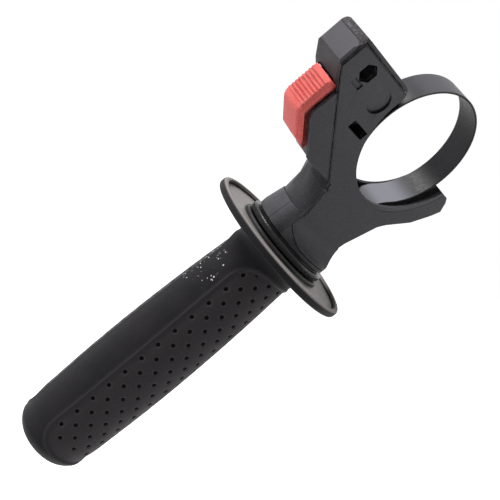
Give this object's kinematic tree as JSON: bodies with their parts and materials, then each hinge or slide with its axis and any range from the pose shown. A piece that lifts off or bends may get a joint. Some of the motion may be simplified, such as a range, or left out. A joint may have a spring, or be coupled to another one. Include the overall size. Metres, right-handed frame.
{
  "type": "power tool side handle",
  "caption": "Side handle for a rotary hammer: steel band clamp, plastic housing with depth rod guide and red release button, and a turning soft grip with a round hand guard.",
  "frame": {"origin": "centre of the collar loop, on the tool's axis and in the middle of the band's width", "axes": "+Y along the tool's axis, away from the front cover; +Z along the grip's axis, away from the grip; +X away from the release button"},
  "size_m": [0.1025, 0.0666, 0.2146],
  "materials": {
    "housing_plastic": "dark grey, fine grain",
    "button_plastic": "coral red, satin",
    "zinc_steel": "zinc plated",
    "band_steel": "dark satin",
    "ring_plastic": "black, glossy",
    "core_plastic": "warm grey, matte",
    "grip_rubber": "black, soft, dimpled on two panels"
  },
  "bodies": {
    "housing": {"housing_body": "housing_plastic", "front_cover": "housing_plastic", "thrust_ring": "ring_plastic", "button_spring": "zinc_steel"},
    "button": {"release_button": "button_plastic", "lock_plate": "zinc_steel"},
    "grip": {"grip_core": "core_plastic", "grip_sleeve": "grip_rubber", "clamp_nut": "zinc_steel", "thrust_washer": "zinc_steel"},
    "clamp": {"clamp_band": "band_steel", "band_pin": "zinc_steel", "clamp_bolt": "zinc_steel"}
  },
  "joints": [
    {"name": "button_slide", "type": "slide", "parent": "housing", "child": "button", "axis": [1, 0, 0], "range_m": [0, 0.003], "stiffness_N_per_m": 900, "springref_m": -0.002, "deforming": ["button_spring"]},
    {"name": "grip_turn", "type": "hinge", "parent": "housing", "child": "grip", "pos_m": [0, 0, -0.0605], "axis": [0, 0, -1], "range_deg": [0, 1152]},
    {"name": "clamp_slide", "type": "slide", "parent": "housing", "child": "clamp", "axis": [0, 0, 1], "range_m": [0, 0.004]}
  ],
  "couplings": [
    {"joint": "clamp_slide", "follows": "grip_turn", "m_per_rad": 0.00019894}
  ]
}
